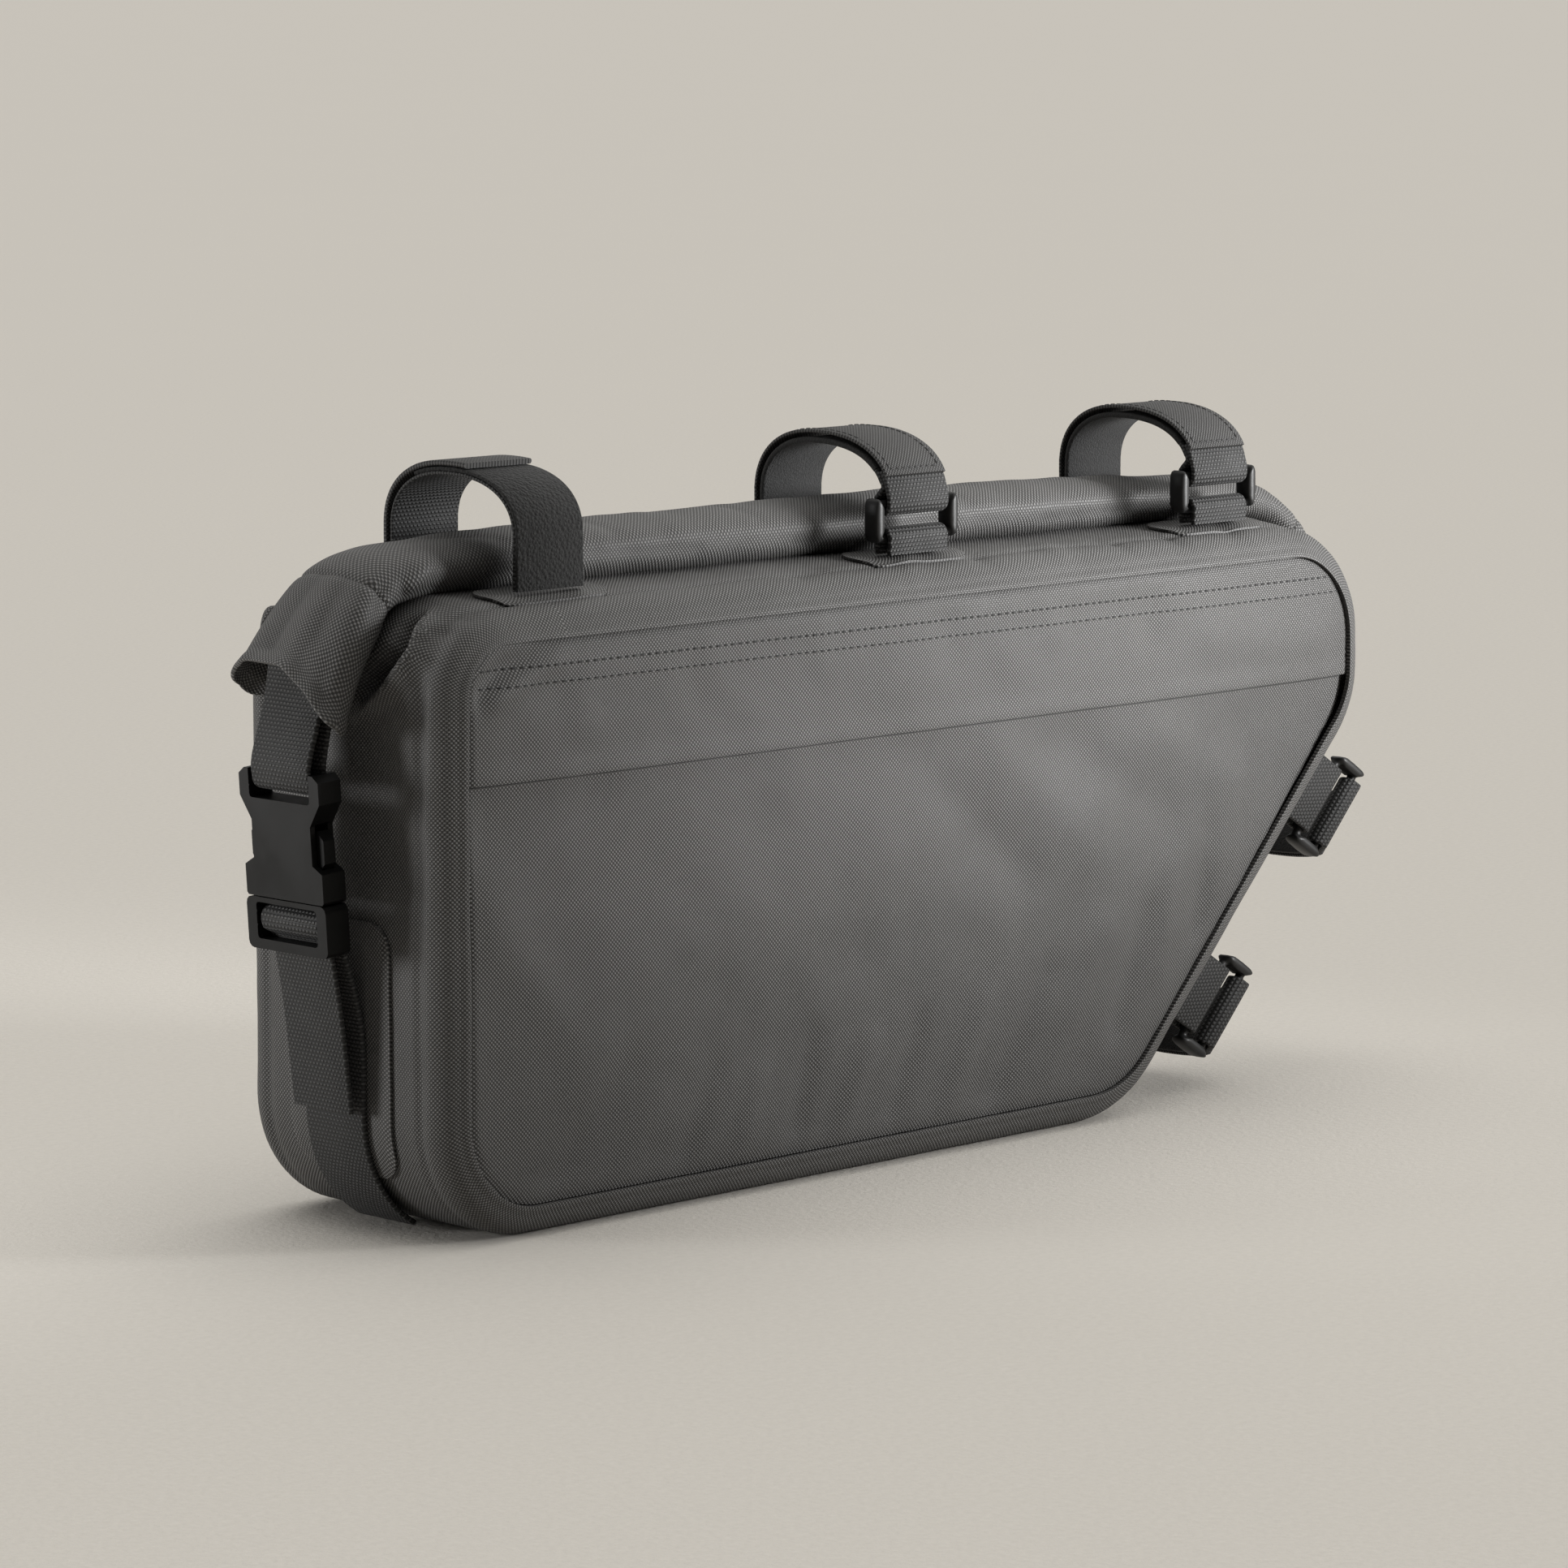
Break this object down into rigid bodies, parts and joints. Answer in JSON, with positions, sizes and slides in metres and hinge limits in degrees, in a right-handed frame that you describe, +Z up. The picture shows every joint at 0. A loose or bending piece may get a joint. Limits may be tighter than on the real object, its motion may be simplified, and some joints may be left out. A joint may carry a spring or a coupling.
{
  "type": "bicycle frame bag",
  "caption": "Roll-top bicycle frame bag of coated cloth with a long top, a slanted lower right side, strap loops and a side release buckle.",
  "frame": {"origin": "middle of the flat base, on the surface it stands on", "axes": "+X along the bag's length towards the slanted end, +Y from the front to the back, +Z up"},
  "size_m": [0.4515, 0.0937, 0.2225],
  "materials": {
    "coated_cloth": "matt coated weave",
    "webbing": "ribbed weave",
    "pile": "fuzzy pile",
    "black_plastic": "satin"
  },
  "bodies": {
    "root": {"gusset": "coated_cloth", "front_panel": "coated_cloth", "back_panel": "coated_cloth", "pocket_flap": "coated_cloth", "roll_top": "coated_cloth", "roll_tab_left": "coated_cloth", "roll_tab_right": "coated_cloth", "end_patch": "coated_cloth", "strap_patch_1": "coated_cloth", "strap_patch_2": "coated_cloth", "strap_patch_3": "coated_cloth", "webbing_upper": "webbing", "webbing_lower": "webbing", "webbing_right": "webbing", "strap_1_end_band": "webbing", "strap_1_pile_band": "pile", "buckle_socket": "black_plastic", "buckle_plug": "black_plastic", "strap_2_band": "webbing", "strap_2_lining": "pile", "strap_2_anchor": "webbing", "strap_2_buckle": "black_plastic", "strap_3_band": "webbing", "strap_3_lining": "pile", "strap_3_anchor": "webbing", "strap_3_buckle": "black_plastic", "strap_4_band": "webbing", "strap_4_lining": "pile", "strap_4_anchor": "webbing", "strap_4_buckle": "black_plastic", "strap_5_band": "webbing", "strap_5_lining": "pile", "strap_5_anchor": "webbing", "strap_5_buckle": "black_plastic"}
  },
  "joints": []
}
